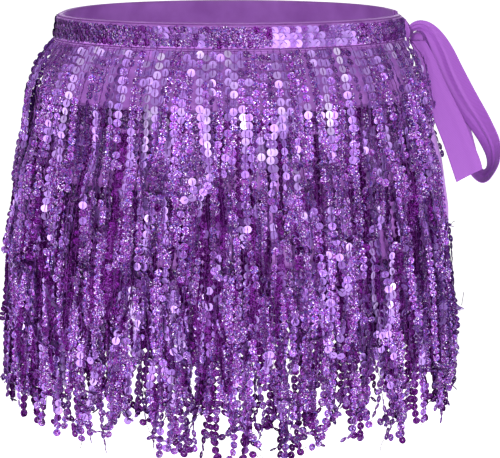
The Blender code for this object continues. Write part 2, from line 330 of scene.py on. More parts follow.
def polyester_stretch_knit(name="polyester_stretch_knit", light="#AE6ECB", deep="#9655B2"):
    """Fine warp knit in polyester and elastane: an even dye, a soft sheen, faint wales."""
    # A wale is really 0.4 mm wide; it is drawn coarser so that it shows at this size.
    material, tree, shader, place = new_material(name)
    mottle = add_node(tree, "TexNoise", {"Scale": 45.0, "Detail": 3.0}, place)
    ramp = add_ramp(tree, mottle, "Fac", [(0.3, deep), (0.7, light)])
    wales = add_node(tree, "TexVoronoi", {"Scale": 1 / WALE_PITCH}, place)
    bump = add_node(tree, "Bump", {"Strength": 0.25, "Distance": 0.0002},
                    {"Height": (wales, "Distance")})
    tree.links.new(ramp.outputs["Color"], shader.inputs["Base Color"])
    tree.links.new(bump.outputs["Normal"], shader.inputs["Normal"])
    set_inputs(shader, {"Roughness": 0.62, "Sheen Weight": 0.35, "Sheen Roughness": 0.4,
                        "Sheen Tint": linear("#E3CCF5")})
    return material


knit = polyester_stretch_knit()
# The piping is the band's knit in darker colours: painted shade.
piping_knit_painted_shade = polyester_stretch_knit("polyester_piping_knit_painted_shade", light="#8F58A9", deep="#784592")

# %% [markdown]
# Sequins are punched from metallised polyester film with a fine embossed grating. Where
# real ones lie square to a lamp they go flat and pale; elsewhere the embossing breaks the
# light into violet, blue and pink specks. Each sequin carries its own two numbers: how pale
# it is, a painted highlight, and how light it is, a random tone darkened by painted shade.
# The darkest get plum specks, painted shade as in the shade of other sequins.

# %% Metallised film
SPECK_SIZE = 0.00062
SPECKS = [(0.0, "#3A0C48"), (0.17, "#642080"), (0.42, "#8C409C"), (0.60, "#524CA2"),
          (0.75, "#8F6AB6"), (0.88, "#B98FCB"), (0.96, "#E6DCF8")]
# Plum specks are painted shade, pale faces a painted highlight.
PAINTED_SHADE_SPECKS = [(0.0, "#2C0238"), (0.33, "#5A0D70"), (0.66, "#7E1F96"), (0.90, "#9452B4")]
PAINTED_HIGHLIGHT_FACES = [(0.0, "#7442A4"), (0.55, "#9A6FC8"), (0.82, "#BC99E0"), (1.0, "#E4CEFC")]


def metallised_polyester_film():
    """Embossed sequin film: specks of colour on a deep purple metal, or an even pale face painted
    as a highlight; both darkened by painted shade.
    """
    material, tree, shader, place = new_material("metallised_polyester_film")
    pale = add_node(tree, "Attribute", {"attribute_name": "pale"})
    dye_and_shade = add_node(tree, "Attribute", {"attribute_name": "dye_and_shade"})
    specks = add_node(tree, "TexVoronoi", {"Scale": 1 / SPECK_SIZE}, place)
    split = add_node(tree, "SeparateColor", links={"Color": (specks, "Color")})
    speckled = add_ramp(tree, split, "Red", SPECKS, "CONSTANT")
    # Painted shade: a low second number swaps in darker plum specks.
    shaded = add_ramp(tree, split, "Red", PAINTED_SHADE_SPECKS, "CONSTANT")
    # Painted highlight: a high paleness gives an even pale face, as if square to a lamp.
    even = add_ramp(tree, pale, "Fac", PAINTED_HIGHLIGHT_FACES)
    in_light = add_range(tree, dye_and_shade, start=0.08, end=0.14)
    specked = add_node(tree, "Mix", {"data_type": "RGBA"},
                       {"Factor": (in_light, "Result"), 6: (shaded, "Color"),
                        7: (speckled, "Color")})
    flat = add_range(tree, pale, start=0.42, end=0.62)
    face = add_node(tree, "Mix", {"data_type": "RGBA"},
                    {"Factor": (flat, "Result"), 6: (specked, 2), 7: (even, "Color")})
    # The sequin's second number, random tone with painted shade, darkens a speckled face more than
    # a pale one.
    depth = add_range(tree, dye_and_shade, low=0.45, high=1.25)
    pale_depth = add_range(tree, dye_and_shade, low=0.66, high=1.12)
    kept = add_node(tree, "Mix", {"data_type": "FLOAT"},
                    {"Factor": (flat, "Result"), 2: (depth, "Result"),
                     3: (pale_depth, "Result")})
    dyed_and_shaded = add_node(tree, "VectorMath", {"operation": "SCALE"},
                    {"Vector": (face, 2), "Scale": (kept, 0)})
    # Each speck tips the surface its own way, far less where the face goes flat.
    tilt = add_node(tree, "VectorMath", {"operation": "SUBTRACT", 1: (0.5, 0.5, 0.5)},
                    {0: (specks, "Color")})
    tilt_size = add_range(tree, flat, "Result", low=0.38, high=0.05)
    tilt_scaled = add_node(tree, "VectorMath", {"operation": "SCALE"},
                           {"Vector": (tilt, "Vector"), "Scale": (tilt_size, "Result")})
    geometry = add_node(tree, "NewGeometry")
    tilted = add_node(tree, "VectorMath", {"operation": "ADD"},
                      {0: (geometry, "Normal"), 1: (tilt_scaled, "Vector")})
    normal = add_node(tree, "VectorMath", {"operation": "NORMALIZE"},
                      {0: (tilted, "Vector")})
    tree.links.new(dyed_and_shaded.outputs["Vector"], shader.inputs["Base Color"])
    tree.links.new(normal.outputs["Vector"], shader.inputs["Normal"])
    set_inputs(shader, {"Metallic": 0.6, "Roughness": 0.38, "Specular IOR Level": 0.2,
                        "Specular Tint": linear("#B48CE8")})
    return material


film = metallised_polyester_film()

# %% [markdown]
# The strands hang on spun polyester thread, dyed a dark purple. The same thread sews the
# sequins to their tape and the tape to the cloth.

# %% Thread
PLY_TWIST = 0.0012


def spun_polyester_thread(name, dark, light):
    """Matt spun thread with a faint ply."""
    material, tree, shader, place = new_material(name)
    ply = add_node(tree, "TexNoise", {"Scale": 1 / PLY_TWIST, "Detail": 1.0}, place)
    ramp = add_ramp(tree, ply, "Fac", [(0.35, dark), (0.65, light)])
    tree.links.new(ramp.outputs["Color"], shader.inputs["Base Color"])
    set_inputs(shader, {"Roughness": 0.7, "Specular IOR Level": 0.2, "Sheen Weight": 0.2,
                        "Sheen Tint": linear("#A868CC")})
    return material


thread = spun_polyester_thread("spun_polyester_thread", "#4A1459", "#783092")
loose_thread = spun_polyester_thread("frayed_polyester_thread", "#2C2A38", "#57506C")

# %% [markdown]
# The ties are chiffon: a plain weave of hard-twisted yarn, matt and slightly sheer, so one
# layer looks lighter than two.

# %% Chiffon
CHIFFON_PITCH = 0.0009
WAVES_PER_SCALE = 0.31  # scale of a wave texture that gives one band a metre


def polyester_chiffon():
    """Plain-weave sheer ribbon: matt, a fine grid of threads, a little see-through."""
    # The yarns are really about 0.15 mm apart; they are drawn coarser so that they show.
    material, tree, shader, place = new_material("polyester_chiffon")
    warp = add_node(tree, "TexWave",
                    {"Scale": WAVES_PER_SCALE / CHIFFON_PITCH, "bands_direction": "DIAGONAL",
                     "Distortion": 0.6}, place)
    ramp = add_ramp(tree, warp, "Fac", [(0.0, "#8C46A8"), (1.0, "#9049AE")])
    tree.links.new(ramp.outputs["Color"], shader.inputs["Base Color"])
    set_inputs(shader, {"Roughness": 0.65, "Sheen Weight": 0.1, "Alpha": 0.93})
    return material


chiffon = polyester_chiffon()
print("materials:", [material.name for material in
                     (knit, piping_knit_painted_shade, film, thread, loose_thread, chiffon)])

# %% [markdown]
# ## Hip panel
# One piece of knit is wrapped round the hips. Its front edge is left plain at the tied side
# and turns out a little. Shallow drag folds run down from the band; each is a soft trough
# with its own place, width, depth and lean.

# %% Hip panel
PANEL_WALL = 0.0012
PANEL_TOP = 0.0085
PANEL_HEM = -0.181
PANEL_COLUMNS = 300
PANEL_ROWS = 56
DRAG_FOLDS = [
    # angle, width in degrees, top, bottom, depth, lean in degrees a metre
    (24, 2.2, -0.012, -0.120, 0.0009, 30),
    (47, 3.0, -0.015, -0.090, 0.0007, -20),
    (78, 2.6, -0.012, -0.140, 0.0010, 12),
    (104, 3.4, -0.014, -0.100, 0.0008, -16),
    (139, 2.8, -0.012, -0.110, 0.0008, 24),
    (166, 2.2, -0.016, -0.150, 0.0010, 0),
    (193, 2.4, -0.012, -0.085, 0.0007, -26),
    (221, 2.0, -0.013, -0.120, 0.0009, 20),
    (247, 1.6, -0.012, -0.075, 0.0008, -10),
    (262, 1.4, -0.012, -0.060, 0.0006, 14),
    (281, 1.8, -0.014, -0.095, 0.0009, -22),
    (303, 2.0, -0.012, -0.110, 0.0008, 16),
    (331, 2.2, -0.012, -0.130, 0.0010, -30),
]
DRAG_FADES = (0.012, 0.03)


def drag(angle, height):
    """How far the drag folds pull the cloth in."""
    pulled = 0.0
    for middle, width, top, bottom, depth, lean in DRAG_FOLDS:
        away = (angle - middle - lean * (height - top)) / width
        window = (np.clip((top - height) / DRAG_FADES[0], 0, 1)
                  * np.clip((height - bottom) / DRAG_FADES[1], 0, 1))
        pulled = pulled + depth * np.exp(-away ** 2) * window
    return -pulled


panel_angles = np.linspace(BACK_END, FRONT_END, PANEL_COLUMNS)
panel_heights = np.linspace(PANEL_TOP, PANEL_HEM, PANEL_ROWS)[:, None]
panel_drag = drag(panel_angles, panel_heights)
hip_panel = add_wall(
    "hip_panel_cloth",
    cloth_point(panel_angles, panel_heights, panel_drag),
    cloth_point(panel_angles, panel_heights, panel_drag - PANEL_WALL),
    knit, "stretch_knit")
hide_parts("hip_panel")
print("hip panel:", count_triangles(hip_panel), "triangles")

# %% [markdown]
# ## Waistband
# A strip of the same knit folded over the top edge, so its top is round and its back shows
# inside the waist.

# %% Waistband
BAND_HALF = 0.010
BAND_OUTSIDE = 0.0013
BAND_INSIDE = -0.0025
BAND_WALL = 0.0010
BAND_END_SHARE = 55 / 56  # it stops a little before the panel's front edge
BAND_COLUMNS = 360
SIDE_STEPS = 6
FOLD_STEPS = 9


def fold_path(inset):
    """The band's section, up the outside, over the fold and down inside."""
    radius = (BAND_OUTSIDE - BAND_INSIDE) / 2
    middle = (BAND_OUTSIDE + BAND_INSIDE) / 2
    turn = np.linspace(0.0, math.pi, FOLD_STEPS)
    sides = np.linspace(-BAND_HALF, BAND_HALF - radius, SIDE_STEPS + 1)[:-1]
    out = np.concatenate([np.full(SIDE_STEPS, radius - inset), (radius - inset) * np.cos(turn),
                          np.full(SIDE_STEPS, inset - radius)]) + middle
    height = np.concatenate([sides, BAND_HALF - radius + (radius - inset) * np.sin(turn),
                             sides[::-1]])
    return out, height


band_angles, _ = angles_along(BACK_END, FRONT_END, np.linspace(0.0, BAND_END_SHARE, BAND_COLUMNS))
band_grids = []
for inset in (0.0, BAND_WALL):
    band_out, band_height = fold_path(inset)
    band_grids.append(cloth_point(band_angles, band_height[:, None], band_out[:, None]))
waistband = add_wall("waistband_cloth", *band_grids, knit, "stretch_knit")
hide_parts("waistband")
print("waistband:", count_triangles(waistband), "triangles")

# %% [markdown]
# ## Sequin fringe
# A tier is a narrow tape with three rows of overlapping sequins, and strands of sequins that
# hang from its lower edge. Arrays work out all places at once, and one joined mesh holds
# the sequins of a tier.

# %% One sequin
SEQUIN_RADIUS = 0.0030
SEQUIN_PITCH = 0.00585
CUP_DEPTH = 0.00016
HOLE_RADIUS = 0.00036
SEQUIN_SIDES = 12


def sequin_shape():
    """Points and triangles of one sequin: across is X, along the thread is Y, front is Z."""
    holes = SEQUIN_SIDES // 2

    def ring(count, radius, lift):
        turn = np.arange(count) * 2 * math.pi / count
        return np.stack([radius * np.cos(turn), radius * np.sin(turn),
                         np.full(count, lift)], axis=-1)

    points = np.concatenate([ring(holes, HOLE_RADIUS, 0.0),
                             ring(SEQUIN_SIDES, SEQUIN_RADIUS, CUP_DEPTH)])
    faces = []
    for index in range(holes):
        after = (index + 1) % holes
        a, b, c = (holes + (2 * index + step) % SEQUIN_SIDES for step in range(3))
        faces += [(index, a, b), (index, b, after), (after, b, c)]
    return points, np.array(faces)


SEQUIN_POINTS, SEQUIN_FACES = sequin_shape()
print("one sequin:", len(SEQUIN_FACES), "triangles")

# %% [markdown]
# Strands start between two angles, less a margin at the tied side. The last six columns say
# how pale the sequins are, as a painted highlight, and how light, as painted light and shade
# over their tone (shade), and how much less so at a strand's end (drop) and for each metre
# to either side (side), where the painted light falls off down and round the figure.

# %% Tiers
SEED = 11
FRINGE_WALL = 0.0014
LAYER_GAP = 0.0005
HEADER_HEIGHT = 0.016
TAPE_WALL = 0.0004
TIER_COLUMNS = ("name header_top first_angle last_angle lowest strands margin loose "
                "pale pale_drop pale_side shade shade_drop shade_side").split()
TIERS = [dict(zip(TIER_COLUMNS, row)) for row in (
    ("fringe_1", 0.0085, 11.0, 352.0, -0.134, 148, 0.0, 0.05, 0.70, 0.20, 1.5, 1.34, 0.50, 2.0),
    ("fringe_2", -0.0495, 11.0, 348.5, -0.192, 190, 3.0, 0.05, 0.41, 0.12, 0.0, 0.76, 0.12, 1.2),
    ("fringe_3", -0.1065, 11.0, 348.5, -0.258, 260, 2.0, 0.05, 0.43, 0.12, 0.0, 0.98, 0.12, 0.0),
    ("fringe_4", -0.1625, 11.0, 352.0, -0.3125, 560, 0.0, 0.12, 0.38, 0.12, 0.0, 0.82, 0.24, 0.0),
)]


def tier_out(tier_index, angle, height):
    """How far a tier hangs off the panel, over the tapes below it."""
    over_tapes = (section(height, "passed") - tier_index) * (FRINGE_WALL + LAYER_GAP)
    if tier_index > 0:
        return over_tapes + LAYER_GAP
    untied = (1.0 - np.cos(np.radians(angle))) / 2
    return over_tapes + section(height, "stand_off") + section(height, "lift") * untied


# %% Placing many sequins and threads


def level_across(outward):
    """The level direction along the cloth."""
    return np.stack([-outward[..., 1], outward[..., 0], outward[..., 2]], axis=-1)


def add_sequins(name, centres, across, along, front, pale, dye_and_shade):
    """One joined mesh of sequins, each with its own paleness, a painted highlight, and its own
    random tone darkened by painted shade.
    """
    shape = SEQUIN_POINTS[None, :, :, None]
    points = centres[:, None, :] + (shape[:, :, 0] * across[:, None, :]
                                    + shape[:, :, 1] * along[:, None, :]
                                    + shape[:, :, 2] * front[:, None, :])
    step = len(SEQUIN_POINTS)
    faces = SEQUIN_FACES[None] + (np.arange(len(centres)) * step)[:, None, None]
    piece = add_piece(name, points.reshape(-1, 3), faces.reshape(-1, 3), film)
    for label, values in (("pale", pale), ("dye_and_shade", dye_and_shade)):
        layer = piece.data.attributes.new(label, "FLOAT", "POINT")
        layer.data.foreach_set("value", np.repeat(values, step).astype(np.float32))
    return piece


def tube(points, across, front, radius, sides=3):
    """Points and quads of a thin tube along a line."""
    turns = np.arange(sides) * 2 * math.pi / sides
    ring = (np.cos(turns)[None, :, None] * across[:, None, :]
            + np.sin(turns)[None, :, None] * front[:, None, :]) * radius
    grid = np.arange(len(points) * sides).reshape(len(points), sides)
    after = np.roll(grid, -1, axis=1)
    faces = np.stack([grid[:-1], after[:-1], after[1:], grid[1:]], axis=-1).reshape(-1, 4)
    return (points[:, None, :] + ring).reshape(-1, 3), faces


def add_tubes(name, tubes, material):
    """Joins many tubes into one piece."""
    offsets = np.cumsum([0] + [len(points) for points, _ in tubes[:-1]])
    points = np.concatenate([points for points, _ in tubes])
    faces = np.concatenate([faces + offset for (_, faces), offset in zip(tubes, offsets)])
    return add_piece(name, points, faces, material)


# %% [markdown]
# The band has a stitched seam just under its fold, and a narrow piping between two seams
# at its lower edge.

# %% Seams and piping of the band
BAND_SEAMS = [
    # height, how far its middle stands off the band, radius
    (0.0089, 0.00005, 0.00024),
    (-0.0083, 0.00010, 0.00030),
    (-0.0099, 0.00005, 0.00026),
]
PIPING = (-0.0092, 0.0001, 0.0006)


def along_band(height, off, radius, sides):
    """A tube that follows the band round."""
    line = cloth_point(band_angles, height, BAND_OUTSIDE + off)
    return tube(line, np.tile([0.0, 0.0, 1.0], (len(line), 1)),
                outward_at(band_angles, np.full(len(line), height)), radius, sides)


band_seams = add_tubes("waistband_seams", [along_band(*seam, 3) for seam in BAND_SEAMS],
                       thread)
band_piping = add_tubes("waistband_piping", [along_band(*PIPING, 6)], piping_knit_painted_shade)
print("band seams:", count_triangles(band_seams) + count_triangles(band_piping), "triangles")

# %% [markdown]
# ## How the strands hang
# Sequins are stiff, so a strand bends only between two of them. It leans, waves, kinks and
# often curls at its end, or closes a loop with its neighbour. Each bend is an angle from
# the plumb line, so a strand keeps its length.

# %% Bends of the strands
LOWER_TANGLE = 1.45
GROUP_LEAN = 0.016
SEAT_LEAN = 0.022
WAVE_TURNS = (0.02, 0.09)
WAVE_LENGTHS = (0.025, 0.07)
KINK_TURN = 0.035
CURL_SHARE = 0.52
CURL_TURNS = (0.3, 1.9)
CURL_LENGTHS = (0.014, 0.034)
LOOP_SHARE = 0.30
LOOP_TURN = 1.7
LOOP_LENGTH = 0.0105
BUNDLE_START = 0.25
BUNDLE_REACH = 0.6


def strand_bends(tier_index, chance, fallen, length, share):
    """Each sequin's angle from the plumb line. Looped neighbours are given one length."""
    count, beads = fallen.shape
    rough = 1.0 if tier_index < 2 else LOWER_TANGLE
    group = np.repeat(chance.normal(0, 1, count // 3 + 1), 3)[:count]
    seat = np.tile([1.0, 0.0, -1.0], count // 3 + 1)[:count]
    lean = rough * (GROUP_LEAN * group
                    + SEAT_LEAN * seat * chance.uniform(0.2, 1.0, count))[:, None]
    waves = sum(
        rough * chance.uniform(*WAVE_TURNS, (count, 1))
        * np.sin(2 * math.pi * fallen / chance.uniform(*WAVE_LENGTHS, (count, 1))
                 + chance.uniform(0, 2 * math.pi, (count, 1)))
        for _ in range(2))
    kinks = rough * np.cumsum(chance.normal(0, KINK_TURN, (count, beads)), axis=1) * share
    curl = np.zeros(count)
    curl_length = chance.uniform(*CURL_LENGTHS, count)
    curled = chance.random(count) < CURL_SHARE
    curl[curled] = chance.uniform(*CURL_TURNS, curled.sum()) * chance.choice([-1, 1], curled.sum())
    for left in range(0, count - 1, 2):
        if chance.random() < LOOP_SHARE:
            length[left + 1] = length[left]
            curl[left:left + 2] = (LOOP_TURN, -LOOP_TURN)
            curl_length[left:left + 2] = LOOP_LENGTH
            lean[left + 1] = lean[left]
    last = np.clip((fallen - length + curl_length[:, None]) / curl_length[:, None], 0, 1)
    return lean + waves * (0.35 + share) + kinks + curl[:, None] * last ** 1.2


def bundled(chance, count, length):
    """How far each strand goes sideways to join the bundle that it hangs in."""
    ends = np.cumsum(chance.integers(2, 6, count))
    bundle = np.searchsorted(ends, np.arange(count), side="right")
    first = np.concatenate([[0], ends])[bundle]
    last = np.minimum(ends[bundle], count)
    away = np.arange(count) - (first + last - 1) / 2
    pull = chance.uniform(0.2, 0.8, count)[bundle]
    return (-away * pull * length / count)[:, None]


# %% [markdown]
# About half of the strands lie on the others, and the first tier swells out under the band.
# Lower down, a strand's own twist has turned its sequins to catch the lamps at other angles.

# %% Depth and twist of the strands
FRONT_DEPTH = 0.0022
DEPTH_SPREAD = 0.0008
RIPPLE_DEPTH = 0.0005
# bulges: size, height of the middle, spread
TOP_BULGE = (0.0015, -0.045, 0.04)
EDGE_BULGE = (0.0045, -0.020, 0.016)
EDGE_BULGE_ANGLE = 338.0
SETTLED_TWISTS = (0.45, 0.75, 0.75, 0.75)
TWIST_KEPT = 0.88
TWIST_STEP, LOWER_TWIST_STEP = 0.12, 0.20


def bulge(height, size, middle, spread):
    return size * np.exp(-((height - middle) / spread) ** 2)


def drift(chance, value, kept, steps):
    """Numbers that wander down the strands, each near the one above it."""
    found = []
    for step in steps.T:
        value = kept * value + step * chance.normal(0, 1, len(value))
        found.append(value)
    return np.stack(found, axis=1)


def strand_depths(tier_index, chance, ahead, roots, height, fallen):
    """How far each sequin hangs off what its strand lies on."""
    depth = (np.where(ahead[:, None], FRONT_DEPTH, 0.0)
             + chance.uniform(0.0, DEPTH_SPREAD, roots.shape))
    depth = depth * (0.7 + 0.3 * np.cos(np.radians(roots)))
    depth = depth * np.clip(fallen / 0.02, 0.3, 1) + RIPPLE_DEPTH * np.sin(
        fallen / 0.011 + chance.uniform(0, 6.3, roots.shape))
    if tier_index > 0:
        return depth
    depth = depth + bulge(height, *TOP_BULGE) * np.clip(fallen / 0.008, 0, 1)
    return depth + bulge(height, *EDGE_BULGE) * np.clip((roots - EDGE_BULGE_ANGLE) / 10, 0, 1)


def strand_twists(tier_index, chance, share):
    """How far each sequin has turned about its thread."""
    steps = TWIST_STEP + LOWER_TWIST_STEP * share
    settled = chance.normal(0, SETTLED_TWISTS[tier_index], (len(share), 1))
    settled = settled * np.clip(share * 2.4, 0.15, 1)
    first = chance.normal(0, 0.2, len(share))
    return settled + np.column_stack([first, drift(chance, first, TWIST_KEPT, steps[:, 1:])])


# %% [markdown]
# The ends are cut by hand and uneven. They rise a little towards the sides, and are short
# at the front edge of the first tier.

# %% Following the strands
END_SPREAD = 0.046
LOWEST_RISE = 0.016
UPPER_RISE = LOWEST_RISE / 3
FRONT_EDGE_ANGLE = 347.0
FRONT_EDGE_LENGTH = 0.062
BAND_DROP = 0.0012
ROOT_DROP = 0.002
STRAND_LIFT = 0.0006
MISSING_SHARE = 0.012


def follow_strands(tier_index, chance, ahead):
    """Centres, axes and twist of all sequins of a tier, and which of them are there."""
    tier = TIERS[tier_index]
    count = tier["strands"]
    shares = (np.arange(count) + 0.5 + chance.uniform(-0.12, 0.12, count)) / count
    roots, spread_length = angles_along(tier["first_angle"], tier["last_angle"] - tier["margin"],
                                        shares)
    roots = roots[:, None]
    top = tier["header_top"] - HEADER_HEIGHT
    spread = END_SPREAD * chance.random((count, 1))
    rise = LOWEST_RISE if tier_index == 3 else UPPER_RISE
    length = top - tier["lowest"] - spread - rise * np.cos(np.radians(roots)) ** 2
    if tier_index == 0:
        length = np.where(roots > FRONT_EDGE_ANGLE, np.minimum(length, FRONT_EDGE_LENGTH), length)
    beads = int((top - tier["lowest"]) / SEQUIN_PITCH)
    start = chance.uniform(-0.25, 0.25, (count, 1)) * SEQUIN_PITCH
    start = start + (BAND_DROP if tier_index == 0 else 0.0)
    fallen = (np.arange(beads) + 0.35)[None, :] * SEQUIN_PITCH + start
    share = fallen / length
    bend = strand_bends(tier_index, chance, fallen, length, share)

    side = np.cumsum(np.sin(bend), axis=1) * SEQUIN_PITCH
    if tier_index > 1:
        side = side + (bundled(chance, count, spread_length)
                       * np.clip(share - BUNDLE_START, 0, BUNDLE_REACH) / BUNDLE_REACH)
    height = (top - ROOT_DROP - start - np.cumsum(np.cos(bend), axis=1) * SEQUIN_PITCH
              + SEQUIN_PITCH * 0.65)
    depth = strand_depths(tier_index, chance, ahead, roots, height, fallen)
    out = tier_out(tier_index, roots, height) + STRAND_LIFT + depth
    outward = outward_at(roots, height)
    centres = cloth_point(roots, height, out) + level_across(outward) * side[..., None]

    up = unit(-np.gradient(centres, axis=1))
    across = unit(np.cross(up, outward))
    front = np.cross(across, up)
    twist = strand_twists(tier_index, chance, share)
    here = (fallen < length) & (chance.random((count, beads)) > MISSING_SHARE)
    return centres, across, up, front, twist, here


def turned(across, up, front, twist, tilt):
    """Turns sequins about their thread and tips them across it."""
    twist, tilt = twist[..., None], tilt[..., None]
    wide = np.cos(twist) * across + np.sin(twist) * front
    face = np.cos(twist) * front - np.sin(twist) * across
    return wide, np.cos(tilt) * up + np.sin(tilt) * face, np.cos(tilt) * face - np.sin(tilt) * up


# %% [markdown]
# Neighbours on a thread face much the same way, so real sequins look pale or speckled in
# runs of a few; here that paleness is a painted highlight in runs along each strand. Sequins
# behind others, and those turned away, are drawn darker as painted shade.

# %% Painted highlight, tone and painted shade on the strands
STRAND_PALENESS = 0.45
RUN_KEPT, RUN_STEP = 0.76, 0.65
RUN_PALENESS = 0.20
# The two losses take painted highlight from sequins turned from the lamps and from those behind
# others.
TURNED_LOSS = 0.2
BEHIND_LOSS = 0.16
LEAST_DYE = 0.38
# Painted shade: how light the strands behind others are drawn.
BEHIND_SHADE = 0.12


def paleness(chance, count, beads, level, drop):
    """Runs of painted highlight along the strands, from 0, speckled, to 1, near white."""
    strand = chance.normal(0, STRAND_PALENESS, (count, 1))
    steps = np.full((count, beads), RUN_STEP)
    runs = drift(chance, chance.normal(0, 1, count), RUN_KEPT, steps)
    return level + RUN_PALENESS * (runs + strand) - drop * np.linspace(0, 1, beads)


def strand_looks(tier_index, chance, centres, twist, ahead):
    """How pale the sequins on a tier's strands are, as painted highlight, and how light, as random
    tone under painted shade.
    """
    tier = TIERS[tier_index]
    count, beads = twist.shape
    behind = ~ahead[:, None] & (tier_index > 0)
    beside = np.abs(centres[..., 0])
    # Painted highlight, less for turned sequins, for those behind others, and towards the sides.
    pale = (paleness(chance, count, beads, tier["pale"], tier["pale_drop"])
            - TURNED_LOSS * np.abs(np.sin(twist)) - BEHIND_LOSS * behind)
    pale = np.clip(pale - tier["pale_side"] * beside, 0, 1)
    dye_and_shade = chance.random((count, beads)) * 0.45 + chance.random((count, 1)) * 0.55
    # Painted shade: set per tier, darker down each strand and towards the sides; strands behind
    # others are darkest.
    lower = 1 - tier["shade_drop"] * np.linspace(0, 1, beads)
    lower = lower * (1 - tier["shade_side"] * beside)
    light = (LEAST_DYE + (1 - LEAST_DYE) * dye_and_shade) * tier["shade"] * lower
    return pale, np.where(behind, BEHIND_SHADE * dye_and_shade, light)


# %% [markdown]
# ## Tapes and their headers
# The tape shows as a line above and below its sequins. One slanting stitch holds each
# sequin. In places a group of them is painted pale, a painted highlight as where flat sequins
# catch a lamp. Header sequins are darkened by painted shade, most on the lower tapes.

# %% Headers
ROW_HEIGHTS = (-0.0036, -0.0084, -0.0132)
ROW_PITCH = 0.0043
ROW_SPREAD = 0.00025
HEADER_LIFT = 0.0004
HEADER_TWIST = 0.14
HEADER_TILT = 0.05
PAINTED_HIGHLIGHT_PATCHES = [
    # groups of sequins on a tape with one painted highlight, as flat ones catch a lamp: tier,
    # middle angle, half of the width, paleness
    (0, 299.0, 15.0, 0.57),
    (0, 276.0, 8.0, 0.22),
    (0, 254.0, 10.0, 0.47),
    (0, 334.0, 20.0, 0.25),
    (0, 205.0, 36.0, 0.22),
    (1, 250.0, 3.0, 0.90),
    (1, 286.0, 4.0, 0.72),
]
PATCH_EDGE = 0.8
KNOT_STEP = 6
# Header sequins, lowest number and range: random tone under painted shade, the panel tapes darker
# as in the shade of the tier above.
BAND_DYE_AND_SHADE = (0.07, 0.13)
PANEL_DYE_AND_SHADE = (0.05, 0.17)


def header_sequins(tier_index, chance):
    """Centres and axes of the three rows on a tape, each overlapping the next."""
    tier = TIERS[tier_index]
    _, length = angles_along(tier["first_angle"], tier["last_angle"], [0.0], tier["header_top"])
    count = int(length / ROW_PITCH)
    centres, axes, slants, all_angles = [], [], [], []
    for row, drop in enumerate(ROW_HEIGHTS):
        shares = (np.arange(count) + 0.5 + chance.uniform(-0.1, 0.1, count)) / count
        angles, _ = angles_along(tier["first_angle"], tier["last_angle"], shares,
                                 tier["header_top"])
        heights = tier["header_top"] + drop + chance.normal(0, ROW_SPREAD, count)
        out = tier_out(tier_index, angles, heights) + TAPE_WALL + HEADER_LIFT + 0.0001 * row
        outward = outward_at(angles, heights)
        up = np.tile([0.0, 0.0, 1.0], (count, 1))
        twist = HEADER_TWIST + chance.normal(0, HEADER_TWIST / 2, count)
        tilt = HEADER_TILT + chance.normal(0, HEADER_TILT, count)
        centres.append(cloth_point(angles, heights, out))
        axes.append(turned(level_across(outward), up, outward, twist, tilt))
        slants.append(np.where(np.arange(count) % 2, 1.0, -1.0))
        all_angles.append(angles)
    joined_axes = [np.concatenate(parts) for parts in zip(*axes)]
    return (np.concatenate(centres), joined_axes, np.concatenate(slants),
            np.concatenate(all_angles))


def header_looks(tier_index, chance, angles):
    """How pale the sequins on a tape are, in patches of painted highlight, and how light, as
    random tone under painted shade.
    """
    count = len(angles)
    columns = count // len(ROW_HEIGHTS)
    knots = chance.normal(0.30, 0.15, columns // KNOT_STEP + 2)
    patches = np.interp(np.arange(columns) / KNOT_STEP, np.arange(len(knots)), knots)
    patches = np.tile(patches, len(ROW_HEIGHTS))
    for patch_tier, middle, half, value in PAINTED_HIGHLIGHT_PATCHES:
        near = np.abs(angles - middle) < half + chance.normal(0, PATCH_EDGE, count)
        if patch_tier == tier_index:
            patches[near] = value
    pale = np.clip(patches + chance.normal(0, 0.08, count), 0, 1)
    lowest_dye_and_shade, dye_and_shade_range = BAND_DYE_AND_SHADE if tier_index == 0 else PANEL_DYE_AND_SHADE
    return pale, lowest_dye_and_shade + dye_and_shade_range * chance.random(count)


def make_tape(tier_index):
    """The tape itself, in knit, between the same edges as its solid."""
    tier = TIERS[tier_index]
    angles = np.linspace(tier["first_angle"], tier["last_angle"], 260)
    heights = np.linspace(tier["header_top"], tier["header_top"] - HEADER_HEIGHT, 7)[:, None]
    inner = tier_out(tier_index, angles, heights)
    return add_wall(tier["name"] + "_tape", cloth_point(angles, heights, inner + TAPE_WALL),
                    cloth_point(angles, heights, inner), knit, "stretch_knit")


# %% [markdown]
# ## Threads
# One thread runs down each strand, over the face of each sequin. Some cut ends are bare.

# %% Threads, stitches and bare ends
THREAD_RADIUS = 0.00028
THREAD_LIFT = 0.00042
STITCH_LENGTH = 0.0021
STITCH_RADIUS = 0.00022
STITCH_LIFTS = (0.0001, 0.0004)
LOOSE_RADIUS = 0.00030
LOOSE_STEPS = 6
LOOSE_LENGTHS = (0.006, 0.016)


def loose_end(chance, start, up, across, front):
    """A bare thread that slants and curls away from a strand's last sequin."""
    length = chance.uniform(*LOOSE_LENGTHS)
    turn = chance.normal(0, 0.6) + chance.normal(0, 0.9) * np.linspace(0, 1, LOOSE_STEPS)
    way = -up * np.cos(turn)[:, None] + across * np.sin(turn)[:, None]
    points = start + np.cumsum(way, axis=0) * length / LOOSE_STEPS
    return tube(points, np.tile(across, (LOOSE_STEPS, 1)), np.tile(front, (LOOSE_STEPS, 1)),
                LOOSE_RADIUS)


def strand_thread(spots, across, up, front, face):
    """The thread of one strand, from its tape down to its last sequin."""
    hung = len(spots)
    line = np.empty((2 * hung, 3))
    line[0] = spots[0] + up[0] * SEQUIN_PITCH
    line[1::2] = spots + face * THREAD_LIFT
    line[2::2] = (spots[1:] + spots[:-1]) / 2
    pick = np.repeat(np.arange(hung), 2)
    return tube(line, across[pick], front[pick], THREAD_RADIUS)


